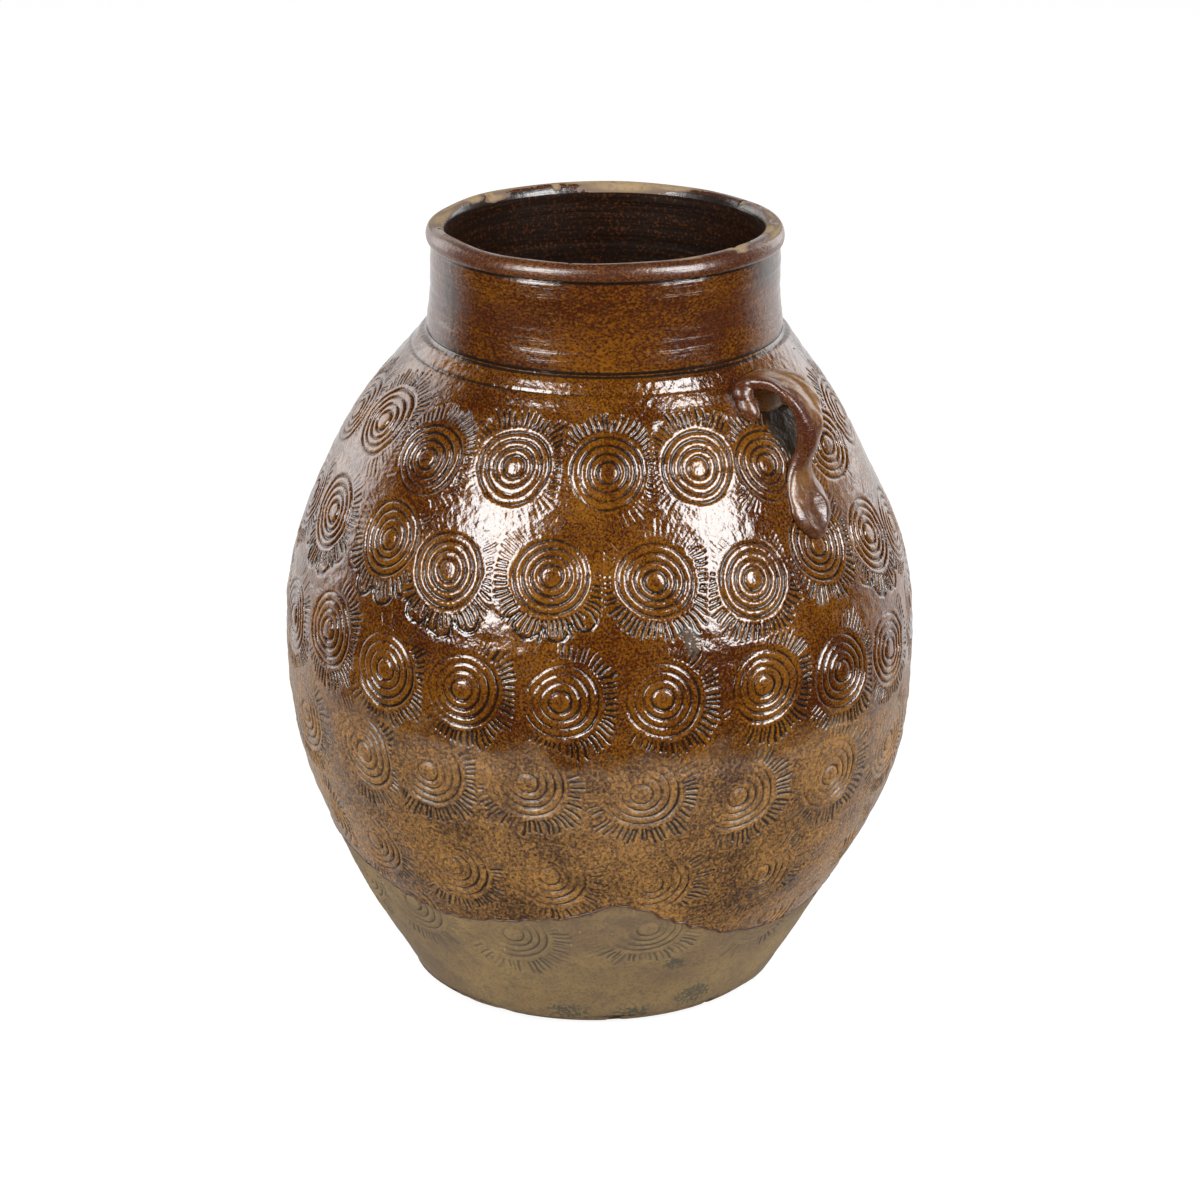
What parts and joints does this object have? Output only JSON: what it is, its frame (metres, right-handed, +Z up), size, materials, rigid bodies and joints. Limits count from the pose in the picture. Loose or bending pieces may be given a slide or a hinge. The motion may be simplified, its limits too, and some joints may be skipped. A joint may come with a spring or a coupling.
{
  "type": "martaban jar",
  "caption": "Tall ovoid stoneware storage jar with a short neck, rolled lip, strap ears on the shoulder and a narrow flat foot.",
  "frame": {"origin": "middle of the flat resting face under the foot", "axes": "+Z up along the jar's axis, +X out through the near ear, +Y completes the right-handed frame"},
  "size_m": [0.417, 0.417, 0.5145],
  "materials": {
    "amber_glaze": "glossy speckled amber-brown glaze over stamped stoneware",
    "bare_clay": "matt unglazed tan-grey stoneware"
  },
  "bodies": {
    "root": {"belly_wall": "amber_glaze", "shoulder_wall": "amber_glaze", "neck_collar": "amber_glaze", "rim_roll": "amber_glaze", "near_ear_root": "amber_glaze", "near_ear_tail": "amber_glaze", "near_ear_strap": "amber_glaze", "far_ear_root": "amber_glaze", "far_ear_tail": "amber_glaze", "far_ear_strap": "amber_glaze", "base_disc": "bare_clay", "lower_wall": "bare_clay"}
  },
  "joints": []
}
